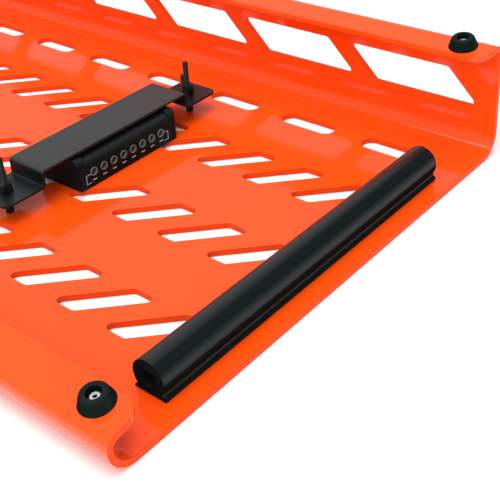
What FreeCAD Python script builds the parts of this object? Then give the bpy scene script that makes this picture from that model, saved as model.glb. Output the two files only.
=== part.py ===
import FreeCAD, Part
import math
import os

# Pedalboard lying on its deck face with the underside up: a folded sheet tray with a low front
# wall and a tall rear wall, rubber end bumpers, four feet, and a small power supply held under a
# strap by two wing nuts. Millimetres. X runs along the board, Y from the front wall to the rear
# wall, Z from the playing face (Z = 0) towards the feet. The origin is the middle of that face.

os.makedirs("parts", exist_ok=True)

# ---- sizes used throughout: how far cuts run past a face, and the match of two equal lengths ----
overshoot = 1.0
tolerance = 0.01

# ---- driving sizes: folded tray ----
slot_pitch = 48.5
slot_columns = 15
slot_width = 24.1
slot_run = 41.0
slot_end_margin = 34.8
slot_row_pitch = 97.0
slot_first_row_in = 83.0
slot_rows = 3
slot_corner_radius = 4.0
board_length = (slot_columns - 1) * slot_pitch + slot_width + slot_run + 2 * slot_end_margin
board_depth = 429.6
sheet_thickness = 4.5
front_height = 30.5
rear_height = 94.0
deck_bend_radius = 20.0
lip_bend_radius = 9.0
lip_width = 30.0
lip_corner_radius = 14.5

# ---- driving sizes: rear row of obrounds and rear wall windows ----
obround_count = 9
obround_pitch = 83.1
obround_length = 53.8
obround_width = 17.7
obround_first_in = 42.0
obround_from_rear = 49.4
window_count = 6
window_pitch = 118.6
window_width = 98.5
window_bottom = 37.8
window_top = 67.2
window_end_margin = 14.3
window_corner_radius = 3.6

# ---- driving sizes: end bumpers ----
bumper_round_radius = 12.7
bumper_base_width = 25.2
bumper_height = 25.0
bumper_toe_height = 1.4
bumper_neck_width = 20.6
bumper_flare_out = 0.25
bumper_flare_up = 0.4
bumper_bore_radius = 5.8
bumper_from_end = 26.2
bumper_front_y = -158.4
bumper_rear_y = 143.2
tape_thickness = 0.8
tape_inset = 1.2

# ---- driving sizes: feet ----
foot_base_radius = 11.4
foot_top_radius = 8.6
foot_height = 7.8
foot_rim_radius = 0.9
foot_rim_slope = 0.27
foot_recess_radius = 4.9
foot_recess_depth = 5.2
foot_from_end = 24.6
foot_from_wall = 17.4
rivet_body_radius = 2.4
rivet_clearance = 0.15
rivet_flange_radius = 3.6
rivet_flange_height = 1.1
rivet_tail_radius = 3.6
rivet_tail_length = 3.0
rivet_edge = 0.5
rivet_bore_radius = 1.2
rivet_bore_depth = 2.6
foot_washer_radius = 4.4
foot_washer_thickness = 0.9

# ---- driving sizes: strap, studs and wing nuts ----
strap_x = 148.8
strap_y = 25.6
strap_width = 39.5
strap_thickness = 2.0
stud_from_wall = 21.2
strap_plate_top = 36.1
strap_tab_top = 22.8
strap_tab_length = 37.5
strap_bend_radius = 3.4
strap_tab_corner = 6.0
stud_spacing = 204.8
strap_plate_length = stud_spacing - 2.0 * stud_from_wall
stud_radius = 2.45
stud_top = 52.0
stud_head_radius = 4.0
stud_head_height = 1.6
stud_clearance = 0.12
thread_pitch = 0.8
thread_depth = 0.42
thread_start = 19.0
thread_run_out = 1.5
stud_tip_chamfer = 0.4
spacer_radius = 3.2
spacer_clearance = 0.2
strap_hole_clearance = 0.35
nut_washer_radius = 5.6
nut_washer_thickness = 1.0
nut_running_clearance = 0.05
nut_seat_gap = 0.05
nut_base_radius = 5.0
nut_crown_radius = 4.0
nut_hub_height = 6.0
nut_wing_span = 28.0
nut_wing_height = 13.8
nut_wing_thickness = 2.4
nut_wing_edge = 0.43
nut_skirt_height = 1.4
nut_bottom_edge = 0.4
nut_top_edge = 0.5
nut_front_turn = -38.0
nut_rear_turn = -27.0

# ---- driving sizes: power supply ----
supply_width = 53.4
supply_length = 111.0
supply_past_strap = 3.0
supply_height = 26.9
supply_slide_gap = 0.1
supply_wall = 2.0
supply_shoulder_radius = 7.0
supply_end_radius = 3.0
supply_recess_depth = 2.0
supply_end_band = 8.0
supply_base_thickness = 1.8
supply_fit = 0.2
pad_gap = 0.2
pad_width = 34.0
pad_length = 90.0
supply_base_edge = 0.5
supply_base_corner = 0.8
boss_radius = 3.2
boss_inset = 6.4
boss_root = 0.5
pilot_spare = 1.0
screw_radius = 1.25
screw_head_radius = 2.6
screw_head_height = 1.2
screw_length = 9.0
screw_clearance = 0.1
screw_drive_radius = 0.8
screw_drive_depth = 0.7
board_thickness = 1.6
board_stand = 3.7
board_margin = 3.5
board_face_gap = 0.6
board_boss_gap = 0.8
stand_radius = 2.2
stand_past_boss = 4.0
stand_offsets = (-12.0, 4.0)
jack_count = 8
jack_pitch = 10.85
jack_height = 12.7
jack_ring_radius = 3.6
jack_socket_radius = 2.75
jack_pin_radius = 1.0
jack_body_width = 9.4
jack_body_depth = 13.5
jack_body_height = 11.0
jack_nose = 0.6
jack_hole_clearance = 0.1
jack_row_offset = 2.4
jack_back_wall = 2.5
jack_face_gap = 0.1
pin_recess = 1.0
inlet_offset = 9.0
coil_outer_radius = 8.5
coil_inner_radius = 3.6
coil_height = 7.5
coil_x_offset = 8.0
coil_y_offset = 12.0
capacitor_count = 3
capacitor_radius = 4.4
capacitor_height = 9.5
capacitor_pitch = 11.0
capacitor_past_coil = 17.0
capacitor_x_offset = 2.0


def box(x_low, x_high, y_low, y_high, z_low, z_high):
    corner = FreeCAD.Vector(x_low, y_low, z_low)
    return Part.makeBox(x_high - x_low, y_high - y_low, z_high - z_low, corner)


def post(x, y, z_low, z_high, radius):
    return Part.makeCylinder(radius, z_high - z_low, FreeCAD.Vector(x, y, z_low))


def tube(x, y, z_low, z_high, outer_radius, inner_radius):
    inner = post(x, y, z_low - overshoot, z_high + overshoot, inner_radius)
    return post(x, y, z_low, z_high, outer_radius).cut(inner)


def turned(profile, x, y, z):
    points = [FreeCAD.Vector(r, 0, h) for r, h in profile]
    points.append(points[0])
    face = Part.Face(Part.makePolygon(points))
    solid = face.revolve(FreeCAD.Vector(0, 0, 0), FreeCAD.Vector(0, 0, 1), 360)
    solid.translate(FreeCAD.Vector(x, y, z))
    return solid


def save(name, solids):
    shape = solids[0] if len(solids) == 1 else Part.makeCompound(solids)
    shape.exportStep("parts/" + name + ".step")


# ---- folded tray ----
half_length = board_length / 2.0
half_depth = board_depth / 2.0
front_foot_y = -half_depth + foot_from_wall
rear_foot_y = half_depth - foot_from_wall
# Both lips and all feet lean by the same angle, so that the board stands flat on its feet.
lip_rise = (rear_height - front_height) / (rear_foot_y - front_foot_y)
lip_lean = math.atan(lip_rise)
lip_lean_degrees = math.degrees(lip_lean)


def front_lip_level(y):
    return front_height + (y - front_foot_y) * lip_rise


def rear_lip_level(y):
    return rear_height + (y - rear_foot_y) * lip_rise


def leaned(shape, x, y, z):
    # Turn an upright shape about a point so that it stands square on a lip.
    shape.rotate(FreeCAD.Vector(x, y, z), FreeCAD.Vector(1, 0, 0), lip_lean_degrees)
    return shape


def bend(centre_y, centre_z, radius, start_degrees, end_degrees):
    points = []
    for angle in (start_degrees, (start_degrees + end_degrees) / 2.0, end_degrees):
        turn = math.radians(angle)
        y = centre_y + radius * math.cos(turn)
        z = centre_z + radius * math.sin(turn)
        points.append(FreeCAD.Vector(-half_length, y, z))
    return Part.Arc(points[0], points[1], points[2]).toShape()


def skin(inset):
    # Edges of the folded section, a set distance inside the outer skin, front lip to rear lip.
    lip_round = lip_bend_radius - inset
    deck_round = deck_bend_radius - inset
    front = -half_depth
    rear = half_depth
    lip_end = 90 + lip_lean_degrees
    front_centre = front + lip_bend_radius
    rear_centre = rear - lip_bend_radius
    centre_drop = lip_bend_radius / math.cos(lip_lean)
    front_bend = front_lip_level(front_centre) - centre_drop
    rear_bend = rear_lip_level(rear_centre) - centre_drop
    arcs = [
        bend(front_centre, front_bend, lip_round, lip_end, 180),
        bend(front + deck_bend_radius, deck_bend_radius, deck_round, 180, 270),
        bend(rear - deck_bend_radius, deck_bend_radius, deck_round, 270, 360),
        bend(rear_centre, rear_bend, lip_round, 0, lip_end),
    ]
    skin_drop = inset / math.cos(lip_lean)
    front_edge_y = front + lip_width
    rear_edge_y = rear - lip_width
    front_edge_z = front_lip_level(front_edge_y) - skin_drop
    rear_edge_z = rear_lip_level(rear_edge_y) - skin_drop
    start = FreeCAD.Vector(-half_length, front_edge_y, front_edge_z)
    finish = FreeCAD.Vector(-half_length, rear_edge_y, rear_edge_z)
    edges = []
    last = start
    for arc in arcs:
        first_point = arc.Vertexes[0].Point
        last_point = arc.Vertexes[-1].Point
        edges.append(Part.makeLine(last, first_point))
        edges.append(arc)
        last = last_point
    edges.append(Part.makeLine(last, finish))
    return edges, start, finish


outer_edges, outer_start, outer_finish = skin(0.0)
inner_edges, inner_start, inner_finish = skin(sheet_thickness)
front_edge = Part.makeLine(outer_start, inner_start)
rear_edge = Part.makeLine(outer_finish, inner_finish)
loop = Part.Wire(Part.__sortEdges__(outer_edges + inner_edges + [front_edge, rear_edge]))
tray = Part.Face(loop).extrude(FreeCAD.Vector(board_length, 0, 0))


def slanted_prism(points, direction, corner_radius):
    # Prism on a four-sided outline, its corners rounded along the given direction.
    face = Part.Face(Part.makePolygon(points + [points[0]]))
    prism = face.extrude(direction)
    sides = []
    for edge in prism.Edges:
        along = edge.Vertexes[-1].Point.sub(edge.Vertexes[0].Point)
        if along.cross(direction).Length < tolerance:
            sides.append(edge)
    return prism.makeFillet(corner_radius, sides)


cuts = []
slot_first_x = half_length - slot_end_margin - slot_run - slot_width
for row in range(slot_rows):
    row_y = -half_depth + slot_first_row_in + row * slot_row_pitch
    for column in range(slot_columns):
        left = slot_first_x - column * slot_pitch
        outline = [
            FreeCAD.Vector(left, row_y, -overshoot),
            FreeCAD.Vector(left + slot_width, row_y, -overshoot),
            FreeCAD.Vector(left + slot_width + slot_run, row_y + slot_run, -overshoot),
            FreeCAD.Vector(left + slot_run, row_y + slot_run, -overshoot),
        ]
        up = FreeCAD.Vector(0, 0, sheet_thickness + 2.0 * overshoot)
        cuts.append(slanted_prism(outline, up, slot_corner_radius))

obround_y = half_depth - obround_from_rear
obround_round = obround_width / 2.0
for number in range(obround_count):
    right = half_length - obround_first_in - number * obround_pitch
    near_centre = right - obround_round
    far_centre = right - obround_length + obround_round
    low = -overshoot
    high = sheet_thickness + overshoot
    middle = box(far_centre, near_centre, obround_y - obround_round, obround_y + obround_round, low, high)
    ends = [post(near_centre, obround_y, low, high, obround_round)]
    ends.append(post(far_centre, obround_y, low, high, obround_round))
    cuts.append(middle.fuse(ends).removeSplitter())

wall_inside = half_depth - sheet_thickness - overshoot
window_rise = window_top - window_bottom
for number in range(window_count):
    right = half_length - window_end_margin - number * window_pitch
    outline = [
        FreeCAD.Vector(right, wall_inside, window_bottom),
        FreeCAD.Vector(right - window_rise, wall_inside, window_top),
        FreeCAD.Vector(right - window_rise - window_width, wall_inside, window_top),
        FreeCAD.Vector(right - window_width, wall_inside, window_bottom),
    ]
    through = FreeCAD.Vector(0, sheet_thickness + 2.0 * overshoot, 0)
    cuts.append(slanted_prism(outline, through, window_corner_radius))

# Rounded free corners of both lips.
lip_reach = lip_width * lip_rise
for side in (-1, 1):
    for edge_y, inward, height in (
        (-half_depth + lip_width, -1, front_height),
        (half_depth - lip_width, 1, rear_height),
    ):
        end_x = side * half_length
        centre_x = end_x - side * lip_corner_radius
        centre_y = edge_y + inward * lip_corner_radius
        low = height - lip_reach - sheet_thickness - overshoot
        high = height + lip_reach + overshoot
        outer_x = end_x + side * overshoot
        outer_y = edge_y - inward * overshoot
        xs = sorted((centre_x, outer_x))
        ys = sorted((centre_y, outer_y))
        corner = box(xs[0], xs[1], ys[0], ys[1], low, high)
        round_low = low - overshoot
        round_high = high + overshoot
        cuts.append(corner.cut(post(centre_x, centre_y, round_low, round_high, lip_corner_radius)))

# Rivet holes for the feet and stepped holes for the studs.
foot_places = {}
for side, side_name in ((1, "right"), (-1, "left")):
    foot_x = side * (half_length - foot_from_end)
    foot_places["front_" + side_name] = (foot_x, front_foot_y, front_height)
    foot_places["rear_" + side_name] = (foot_x, rear_foot_y, rear_height)
rivet_hole_radius = rivet_body_radius + rivet_clearance
for foot_x, foot_y, lip_top in foot_places.values():
    hole_low = lip_top - sheet_thickness - overshoot
    hole = post(foot_x, foot_y, hole_low, lip_top + overshoot, rivet_hole_radius)
    cuts.append(leaned(hole, foot_x, foot_y, lip_top))

stud_places = {
    "front": strap_y - stud_spacing / 2.0,
    "rear": strap_y + stud_spacing / 2.0,
}
stud_hole_radius = stud_radius + stud_clearance
head_hole_radius = stud_head_radius + stud_clearance
for stud_y in stud_places.values():
    cuts.append(post(strap_x, stud_y, -overshoot, sheet_thickness + overshoot, stud_hole_radius))
    cuts.append(post(strap_x, stud_y, -overshoot, stud_head_height, head_hole_radius))

tray = tray.cut(cuts)
save("deck_shell", tray.Solids)

# ---- end bumpers on their tape ----
bumper_floor = sheet_thickness + tape_thickness
bumper_top = bumper_floor + bumper_height
bumper_centre = bumper_top - bumper_round_radius
half_neck = bumper_neck_width / 2.0
neck_drop = math.sqrt(bumper_round_radius ** 2 - half_neck ** 2)
neck_level = bumper_centre - neck_drop
toe_level = bumper_floor + bumper_toe_height
half_base = bumper_base_width / 2.0
flare_x = half_neck + bumper_flare_out * (half_base - half_neck)
flare_z = toe_level + bumper_flare_up * (neck_level - toe_level)

for side, side_name in ((1, "right"), (-1, "left")):
    middle_x = side * (half_length - bumper_from_end)

    def at(x_offset, z):
        return FreeCAD.Vector(middle_x + x_offset, bumper_front_y, z)

    section = [
        Part.makeLine(at(-half_base, bumper_floor), at(half_base, bumper_floor)),
        Part.makeLine(at(half_base, bumper_floor), at(half_base, toe_level)),
        Part.Arc(at(half_base, toe_level), at(flare_x, flare_z), at(half_neck, neck_level)).toShape(),
        Part.Arc(at(half_neck, neck_level), at(0, bumper_top), at(-half_neck, neck_level)).toShape(),
        Part.Arc(at(-half_neck, neck_level), at(-flare_x, flare_z), at(-half_base, toe_level)).toShape(),
        Part.makeLine(at(-half_base, toe_level), at(-half_base, bumper_floor)),
    ]
    bumper_length = bumper_rear_y - bumper_front_y
    bar = Part.Face(Part.Wire(section)).extrude(FreeCAD.Vector(0, bumper_length, 0))
    bore_start = FreeCAD.Vector(middle_x, bumper_front_y - overshoot, bumper_centre)
    along_bar = FreeCAD.Vector(0, 1, 0)
    bore_length = bumper_length + 2.0 * overshoot
    bore = Part.makeCylinder(bumper_bore_radius, bore_length, bore_start, along_bar)
    save("end_bumper_" + side_name, bar.cut(bore).Solids)
    tape_half = half_base - tape_inset
    tape_low = bumper_front_y + tape_inset
    tape_high = bumper_rear_y - tape_inset
    tape_x_low = middle_x - tape_half
    tape_x_high = middle_x + tape_half
    tape = box(tape_x_low, tape_x_high, tape_low, tape_high, sheet_thickness, bumper_floor)
    save("bumper_tape_" + side_name, tape.Solids)

# ---- feet, their washers and rivets ----
recess_floor = foot_height - foot_recess_depth
foot_profile = [
    (rivet_hole_radius, 0),
    (foot_base_radius, 0),
    (foot_top_radius + foot_rim_slope, foot_height - foot_rim_radius),
    (foot_top_radius - foot_rim_slope, foot_height - foot_rim_slope),
    (foot_top_radius - foot_rim_radius, foot_height),
    (foot_recess_radius, foot_height),
    (foot_recess_radius, recess_floor),
    (rivet_hole_radius, recess_floor),
]
washer_top = recess_floor + foot_washer_thickness
flange_top = washer_top + rivet_flange_height
tail_level = -sheet_thickness
rivet_profile = [
    (0, tail_level - rivet_tail_length),
    (rivet_tail_radius - 2.0 * rivet_edge, tail_level - rivet_tail_length),
    (rivet_tail_radius, tail_level - rivet_tail_length / 2.0),
    (rivet_tail_radius, tail_level),
    (rivet_body_radius, tail_level),
    (rivet_body_radius, washer_top),
    (rivet_flange_radius, washer_top),
    (rivet_flange_radius, flange_top - rivet_edge),
    (rivet_flange_radius - rivet_edge, flange_top),
    (rivet_bore_radius + rivet_edge / 2.0, flange_top),
    (rivet_bore_radius, flange_top - rivet_edge / 2.0),
    (rivet_bore_radius, flange_top - rivet_bore_depth),
    (0, flange_top - rivet_bore_depth),
]
washers = []
rivets = []
for place_name, (foot_x, foot_y, lip_top) in foot_places.items():
    foot = turned(foot_profile, foot_x, foot_y, lip_top)
    save("foot_" + place_name, leaned(foot, foot_x, foot_y, lip_top).Solids)
    washer_low = lip_top + recess_floor
    washer_high = lip_top + washer_top
    washer = tube(foot_x, foot_y, washer_low, washer_high, foot_washer_radius, rivet_hole_radius)
    washers.append(leaned(washer, foot_x, foot_y, lip_top))
    rivet = turned(rivet_profile, foot_x, foot_y, lip_top)
    rivets.append(leaned(rivet, foot_x, foot_y, lip_top))
save("foot_washers", washers)
save("foot_rivets", rivets)

# ---- strap: plate, two upright walls and two tabs bent from one strip ----
half_plate = strap_plate_length / 2.0
tab_end = half_plate + strap_tab_length


def strap_side(side):
    # Skin corners from the plate to a tab end, as (y, z) pairs for top and bottom skins.
    wall_out = strap_y + side * half_plate
    wall_in = strap_y + side * (half_plate - strap_thickness)
    tip = strap_y + side * tab_end
    plate_bottom = strap_plate_top - strap_thickness
    tab_bottom = strap_tab_top - strap_thickness
    top = [(wall_out, strap_plate_top), (wall_out, strap_tab_top), (tip, strap_tab_top)]
    bottom = [(wall_in, plate_bottom), (wall_in, tab_bottom), (tip, tab_bottom)]
    return top, bottom


front_top, front_bottom = strap_side(-1)
rear_top, rear_bottom = strap_side(1)
outline = front_top[::-1] + rear_top + rear_bottom[::-1] + front_bottom
strap_left = strap_x - strap_width / 2.0
strap_right = strap_x + strap_width / 2.0
outline_points = [FreeCAD.Vector(strap_left, y, z) for y, z in outline]
strip_face = Part.Face(Part.makePolygon(outline_points + [outline_points[0]]))
strap = strip_face.extrude(FreeCAD.Vector(strap_width, 0, 0))


def bend_edges(shape, wall_face, level):
    # Straight edges across the strip at one face of its upright walls and at one height.
    found = []
    for edge in shape.Edges:
        first = edge.Vertexes[0].Point
        second = edge.Vertexes[-1].Point
        across = abs(second.x - first.x) > strap_width - tolerance
        at_wall = abs(abs(first.y - strap_y) - wall_face) < tolerance
        if across and at_wall and abs(first.z - level) < tolerance:
            found.append(edge)
    return found


wall_inner = half_plate - strap_thickness
tab_bottom = strap_tab_top - strap_thickness
inside_bends = bend_edges(strap, half_plate, strap_tab_top)
inside_bends += bend_edges(strap, wall_inner, strap_plate_top - strap_thickness)
strap = strap.makeFillet(strap_bend_radius - strap_thickness, inside_bends)
outside_bends = bend_edges(strap, half_plate, strap_plate_top)
outside_bends += bend_edges(strap, wall_inner, tab_bottom)
strap = strap.makeFillet(strap_bend_radius, outside_bends)
tab_corners = []
for edge in strap.Edges:
    first = edge.Vertexes[0].Point
    second = edge.Vertexes[-1].Point
    upright = abs(second.z - first.z) > strap_thickness - tolerance
    at_tip = abs(abs(first.y - strap_y) - tab_end) < tolerance
    if upright and at_tip and abs(second.y - first.y) < tolerance:
        tab_corners.append(edge)
strap = strap.makeFillet(strap_tab_corner, tab_corners)
hole_low = tab_bottom - overshoot
hole_high = strap_tab_top + overshoot
for stud_y in stud_places.values():
    strap = strap.cut(post(strap_x, stud_y, hole_low, hole_high, stud_radius + strap_hole_clearance))
save("supply_strap", strap.Solids)

# ---- studs, spacers, washers and wing nuts ----
washer_floor = strap_tab_top
nut_floor = washer_floor + nut_washer_thickness + nut_seat_gap
groove_count = int((stud_top - thread_run_out - thread_start) / thread_pitch)
core_radius = stud_radius - thread_depth
stud_profile = [
    (0, 0),
    (stud_head_radius, 0),
    (stud_head_radius, stud_head_height),
    (stud_radius, stud_head_height),
    (stud_radius, thread_start),
]
for number in range(groove_count):
    level = thread_start + number * thread_pitch
    stud_profile.append((core_radius, level + thread_pitch / 2.0))
    stud_profile.append((stud_radius, level + thread_pitch))
stud_profile.append((core_radius, stud_top - stud_tip_chamfer))
stud_profile.append((core_radius - stud_tip_chamfer, stud_top))
stud_profile.append((0, stud_top))

wing_reach = nut_wing_span / 2.0
# Wing outline as shares of its reach and height: root, lower edge, rounded tip, upper edge.
wing_outline = [
    (nut_crown_radius * 0.5, nut_skirt_height - 0.2),
    (nut_base_radius * 0.9, nut_skirt_height),
    (wing_reach * 0.72, nut_wing_height * 0.42),
    (wing_reach, nut_wing_height * 0.80),
    (wing_reach * 0.97, nut_wing_height * 0.95),
    (wing_reach * 0.86, nut_wing_height),
    (wing_reach * 0.70, nut_wing_height * 0.96),
    (nut_crown_radius * 0.9, nut_hub_height * 0.93),
    (nut_crown_radius * 0.5, nut_hub_height * 0.9),
]
nut_hub = [
    (0, 0),
    (nut_base_radius - nut_bottom_edge, 0),
    (nut_base_radius, nut_bottom_edge),
    (nut_base_radius, nut_skirt_height),
    (nut_crown_radius, nut_hub_height - nut_top_edge),
    (nut_crown_radius - nut_top_edge, nut_hub_height),
    (0, nut_hub_height),
]
nut_turns = {"front": nut_front_turn, "rear": nut_rear_turn}
for place_name, stud_y in stud_places.items():
    save("stud_" + place_name, turned(stud_profile, strap_x, stud_y, 0).Solids)
    spacer_bore = stud_radius + spacer_clearance
    spacer = tube(strap_x, stud_y, sheet_thickness, tab_bottom, spacer_radius, spacer_bore)
    save("spacer_" + place_name, spacer.Solids)
    washer_bore = stud_radius + strap_hole_clearance
    washer_high = washer_floor + nut_washer_thickness
    nut_washer = tube(strap_x, stud_y, washer_floor, washer_high, nut_washer_radius, washer_bore)
    save("nut_washer_" + place_name, nut_washer.Solids)
    nut = turned(nut_hub, 0, 0, 0)
    for side in (-1, 1):
        corners = [FreeCAD.Vector(side * x, -nut_wing_thickness / 2.0, z) for x, z in wing_outline]
        blade = Part.Face(Part.makePolygon(corners + [corners[0]]))
        blade = blade.extrude(FreeCAD.Vector(0, nut_wing_thickness, 0))
        long_edges = []
        for edge in blade.Edges:
            middle = edge.CenterOfMass
            outward = abs(middle.x) > nut_base_radius * 0.95
            flat_side = abs(abs(middle.y) - nut_wing_thickness / 2.0) < tolerance
            if outward and flat_side:
                long_edges.append(edge)
        nut = nut.fuse(blade.makeChamfer(nut_wing_edge, long_edges))
    nut_bore = stud_radius + nut_running_clearance
    nut = nut.cut(post(0, 0, -overshoot, nut_hub_height + overshoot, nut_bore))
    nut.rotate(FreeCAD.Vector(0, 0, 0), FreeCAD.Vector(0, 0, 1), nut_turns[place_name])
    nut.translate(FreeCAD.Vector(strap_x, stud_y, nut_floor))
    save("wing_nut_" + place_name, nut.Solids)

# ---- power supply cover ----
supply_floor = sheet_thickness + supply_slide_gap
supply_top = supply_floor + supply_height
supply_left = strap_x - supply_width / 2.0
supply_right = strap_x + supply_width / 2.0
supply_front = strap_y + supply_past_strap - supply_length / 2.0
supply_rear = supply_front + supply_length


def rounded_block(inset, z_low, z_high, shoulder, end_round):
    # Block with rounded long top edges and slightly rounded upright corners.
    x_low = supply_left + inset
    x_high = supply_right - inset
    block = box(x_low, x_high, supply_front + inset, supply_rear - inset, z_low, z_high)
    uprights = []
    for edge in block.Edges:
        if abs(edge.Vertexes[-1].Point.z - edge.Vertexes[0].Point.z) > tolerance:
            uprights.append(edge)
    block = block.makeFillet(end_round, uprights)
    y_low = supply_front - overshoot
    y_high = supply_rear + overshoot
    shoulder_box = box(x_low, x_high, y_low, y_high, z_low - overshoot, z_high)
    shoulder_edges = []
    for edge in shoulder_box.Edges:
        along_y = abs(edge.Vertexes[-1].Point.y - edge.Vertexes[0].Point.y) > tolerance
        if along_y and abs(edge.Vertexes[0].Point.z - z_high) < tolerance:
            shoulder_edges.append(edge)
    return block.common(shoulder_box.makeFillet(shoulder, shoulder_edges))


cover = rounded_block(0.0, supply_floor, supply_top, supply_shoulder_radius, supply_end_radius)
recess_low = supply_front + supply_end_band
recess_high = supply_rear - supply_end_band
recess_floor_z = supply_top - supply_recess_depth
lowered = rounded_block(0.0, supply_floor, recess_floor_z, supply_shoulder_radius, supply_end_radius)
middle_zone = box(
    supply_left - overshoot,
    supply_right + overshoot,
    recess_low,
    recess_high,
    supply_floor - overshoot,
    supply_top + overshoot,
)
cover = cover.cut(middle_zone).fuse(lowered.common(middle_zone)).removeSplitter()
hollow_top = recess_floor_z - supply_wall
inner_shoulder = supply_shoulder_radius - supply_wall
inner_end = supply_end_radius - supply_wall
hollow = rounded_block(supply_wall, supply_floor - overshoot, hollow_top, inner_shoulder, inner_end)
cover = cover.cut(hollow)

base_top = supply_floor + supply_base_thickness
boss_xs = (supply_left + boss_inset, supply_right - boss_inset)
boss_ys = (supply_front + boss_inset, supply_rear - boss_inset)
boss_places = [(x, y) for x in boss_xs for y in boss_ys]
screw_hole_radius = screw_radius + screw_clearance
pilot_top = supply_floor + screw_length + pilot_spare
for boss_x, boss_y in boss_places:
    cover = cover.fuse(post(boss_x, boss_y, base_top, hollow_top + boss_root, boss_radius))
    cover = cover.cut(post(boss_x, boss_y, base_top - overshoot, pilot_top, screw_hole_radius))

board_z = base_top + board_stand
board_top = board_z + board_thickness
jack_z = supply_floor + jack_height
jack_middle_y = (supply_front + supply_rear) / 2.0 - jack_row_offset
jack_first_y = jack_middle_y - (jack_count - 1) * jack_pitch / 2.0
jack_ys = [jack_first_y + number * jack_pitch for number in range(jack_count)]
face_inside = supply_right - supply_wall
along_x = FreeCAD.Vector(1, 0, 0)


def rod_x(x_low, x_high, y, z, radius):
    return Part.makeCylinder(radius, x_high - x_low, FreeCAD.Vector(x_low, y, z), along_x)


def rod_y(y_low, y_high, x, z, radius):
    start = FreeCAD.Vector(x, y_low, z)
    return Part.makeCylinder(radius, y_high - y_low, start, FreeCAD.Vector(0, 1, 0))


hole_radius = jack_ring_radius + jack_hole_clearance
for jack_y in jack_ys:
    hole = rod_x(face_inside - overshoot, supply_right + overshoot, jack_y, jack_z, hole_radius)
    cover = cover.cut(hole)
inlet_x = strap_x - inlet_offset
rear_inside = supply_rear - supply_wall
hole = rod_y(rear_inside - overshoot, supply_rear + overshoot, inlet_x, jack_z, hole_radius)
cover = cover.cut(hole)
save("supply_cover", cover.removeSplitter().Solids)

# ---- power supply base plate, its posts for the circuit board, and screws ----
base_inset = supply_wall + supply_fit
base = rounded_block(base_inset, supply_floor, base_top, supply_base_edge, supply_base_corner)
stand_inset = boss_inset + boss_radius + stand_past_boss
stand_ys = (supply_front + stand_inset, supply_rear - stand_inset)
for stand_offset in stand_offsets:
    for stand_y in stand_ys:
        stand_low = base_top - supply_base_edge
        base = base.fuse(post(strap_x + stand_offset, stand_y, stand_low, board_z, stand_radius))
screws = []
head_high = supply_floor + screw_head_height
head_clear = screw_head_radius + screw_clearance
below_base = supply_floor - overshoot
drive_high = supply_floor + screw_drive_depth
for boss_x, boss_y in boss_places:
    base = base.cut(post(boss_x, boss_y, below_base, base_top + overshoot, screw_hole_radius))
    base = base.cut(post(boss_x, boss_y, below_base, head_high, head_clear))
    screw = post(boss_x, boss_y, supply_floor, head_high, screw_head_radius)
    screw = screw.fuse(post(boss_x, boss_y, supply_floor, supply_floor + screw_length, screw_radius))
    drive = post(boss_x, boss_y, below_base, drive_high, screw_drive_radius)
    screws.append(screw.cut(drive).Solids[0])
save("supply_base", base.removeSplitter().Solids)
save("supply_screws", screws)

# ---- circuit board and what stands on it ----
board_inset = supply_wall + board_margin
board = box(
    supply_left + board_inset,
    face_inside - board_face_gap,
    supply_front + board_inset,
    supply_rear - board_inset,
    board_z,
    board_top,
)
board_notch = boss_radius + board_boss_gap
for boss_x, boss_y in boss_places:
    board = board.cut(post(boss_x, boss_y, board_z - overshoot, board_top + overshoot, board_notch))
save("supply_board", board.Solids)

jack_bodies = []
jack_rings = []
jack_pins = []
body_front = face_inside - jack_face_gap
body_back = body_front - jack_body_depth
body_high = board_top + jack_body_height
socket_back = body_back + jack_back_wall
half_body = jack_body_width / 2.0
ring_end = supply_right + jack_nose
for jack_y in jack_ys:
    body = box(body_back, body_front, jack_y - half_body, jack_y + half_body, board_top, body_high)
    socket = rod_x(socket_back, ring_end + overshoot, jack_y, jack_z, jack_socket_radius)
    jack_bodies.append(body.cut(socket))
    ring = rod_x(body_front, ring_end, jack_y, jack_z, jack_ring_radius)
    jack_rings.append(ring.cut(socket))
    jack_pins.append(rod_x(socket_back, supply_right - pin_recess, jack_y, jack_z, jack_pin_radius))
save("output_jacks", jack_bodies)
save("output_rings", jack_rings)
save("output_pins", jack_pins)

inlet_front = rear_inside - jack_face_gap
inlet_back = inlet_front - jack_body_depth
inlet_socket_back = inlet_back + jack_back_wall
inlet_end = supply_rear + jack_nose
inlet_low_x = inlet_x - half_body
inlet_high_x = inlet_x + half_body
inlet = box(inlet_low_x, inlet_high_x, inlet_back, inlet_front, board_top, body_high)
socket = rod_y(inlet_socket_back, inlet_end + overshoot, inlet_x, jack_z, jack_socket_radius)
save("inlet_jack", inlet.cut(socket).Solids)
inlet_ring = rod_y(inlet_front, inlet_end, inlet_x, jack_z, jack_ring_radius)
save("inlet_ring", inlet_ring.cut(socket).Solids)
inlet_pin = rod_y(inlet_socket_back, supply_rear - pin_recess, inlet_x, jack_z, jack_pin_radius)
save("inlet_pin", inlet_pin.Solids)

coil_x = strap_x - coil_x_offset
coil_y = strap_y - coil_y_offset
coil_top = board_top + coil_height
coil = tube(coil_x, coil_y, board_top, coil_top, coil_outer_radius, coil_inner_radius)
save("supply_coil", coil.Solids)
capacitors = []
capacitor_x = coil_x - capacitor_x_offset
capacitor_top = board_top + capacitor_height
for number in range(capacitor_count):
    capacitor_y = coil_y + capacitor_past_coil + number * capacitor_pitch
    capacitors.append(post(capacitor_x, capacitor_y, board_top, capacitor_top, capacitor_radius))
save("supply_capacitors", capacitors)

# ---- foam pad under the strap plate ----
pad_low = supply_top + pad_gap
pad_high = strap_plate_top - strap_thickness
pad_y = (supply_front + supply_rear) / 2.0
pad = box(
    strap_x - pad_width / 2.0,
    strap_x + pad_width / 2.0,
    pad_y - pad_length / 2.0,
    pad_y + pad_length / 2.0,
    pad_low,
    pad_high,
)
save("strap_pad", pad.Solids)
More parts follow.
